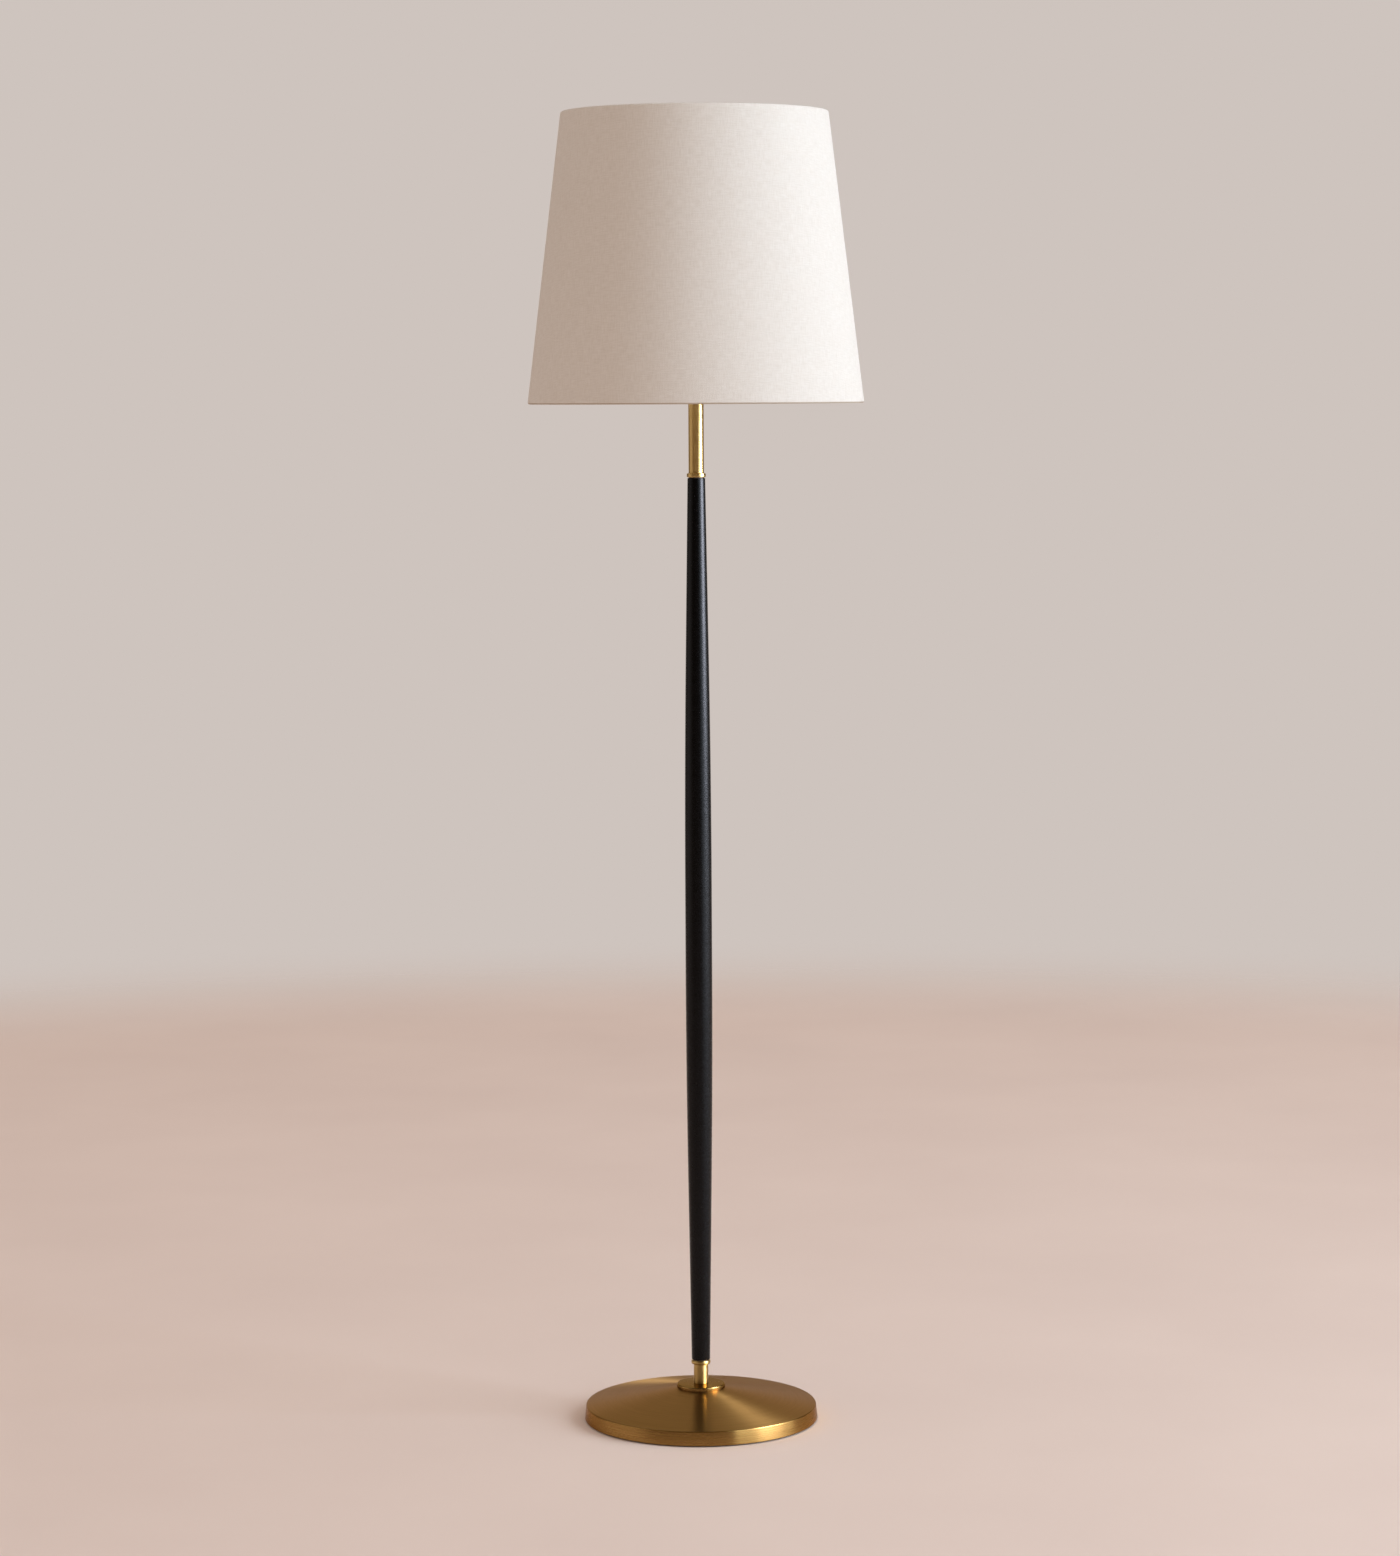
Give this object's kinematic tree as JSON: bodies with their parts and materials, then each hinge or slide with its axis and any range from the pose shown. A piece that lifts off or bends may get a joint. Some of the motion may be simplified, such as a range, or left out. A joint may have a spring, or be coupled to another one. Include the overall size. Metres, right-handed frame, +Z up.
{
  "type": "floor lamp",
  "caption": "Floor lamp with a round satin-brass base, a slim black leather-covered column that swells in its middle third, brass collars and a cone-shaped cloth shade.",
  "frame": {"origin": "on the floor, under the middle of the base", "axes": "+Z up along the column, -Y towards the viewer, +Y towards the cord outlet"},
  "size_m": [0.3999, 0.4, 1.57],
  "materials": {
    "felt": "short black felt",
    "bare_steel": "bare rolled steel",
    "zinc_steel": "bright zinc plate",
    "white_wire": "white enamel",
    "iron": "grey casting, oiled",
    "satin_brass": "satin, spun in rings, lacquered",
    "polished_brass": "polished and lacquered",
    "contact_brass": "bright",
    "black_plastic": "moulded, half gloss",
    "block_plastic": "white nylon",
    "timber": "turned beech, unfinished",
    "black_leather": "black grained hide, semi-gloss",
    "porcelain": "glazed",
    "lead_sheath": "white flexible sheath",
    "shade_cloth": "off-white plain weave",
    "shade_lining": "white, matt",
    "cap_metal": "nickel plate",
    "cap_glass": "black glass",
    "bulb_plastic": "white, satin",
    "opal": "opal, satin",
    "circuit_board": "white board"
  },
  "bodies": {
    "stand": {"base_pad": "felt", "base_plate": "bare_steel", "base_plate_screws": "zinc_steel", "base_weight": "iron", "base_shell": "satin_brass", "cord_bush": "black_plastic", "terminal_block": "block_plastic", "terminal_screw": "zinc_steel", "earth_tag": "contact_brass", "earth_screw": "zinc_steel", "rod_washer_lower": "zinc_steel", "rod_lock_washer": "zinc_steel", "rod_nut_lower": "zinc_steel", "threaded_rod": "zinc_steel", "rosette": "satin_brass", "neck_tube": "polished_brass", "lower_collar": "polished_brass", "column_core": "timber", "column_leather": "black_leather", "upper_collar": "polished_brass", "upper_tube": "polished_brass", "rod_washer_upper": "polished_brass", "rod_nut_upper": "zinc_steel", "lampholder_cap": "black_plastic", "lampholder_grub_screw": "zinc_steel", "lampholder_insert": "porcelain", "lampholder_terminals": "contact_brass", "lampholder_contact": "contact_brass", "lampholder_thread": "contact_brass", "lampholder_skirt": "black_plastic", "shade_ring_lower": "black_plastic", "lead": "lead_sheath"},
    "shade": {"shade_fabric": "shade_cloth", "shade_liner": "shade_lining", "hem_top": "shade_cloth", "hem_bottom": "shade_cloth", "wire_top": "white_wire", "wire_bottom": "white_wire", "fitter_ring": "zinc_steel", "spider_arms": "white_wire"},
    "clamp_ring": {"shade_ring_upper": "black_plastic"},
    "bulb": {"bulb_cap": "cap_metal", "bulb_contact": "cap_metal", "bulb_insulator": "cap_glass", "bulb_housing": "bulb_plastic", "bulb_dome": "opal", "bulb_board": "circuit_board", "bulb_driver": "circuit_board"}
  },
  "joints": [
    {"name": "shade_turn", "type": "hinge", "parent": "stand", "child": "shade", "pos_m": [0, 0, 1.285], "axis": [0, 0, 1], "continuous": true},
    {"name": "ring_unscrew", "type": "slide", "parent": "stand", "child": "clamp_ring", "axis": [0, 0, 1], "range_m": [0, 0.02]},
    {"name": "bulb_unscrew", "type": "slide", "parent": "stand", "child": "bulb", "axis": [0, 0, 1], "range_m": [0, 0.021]}
  ]
}
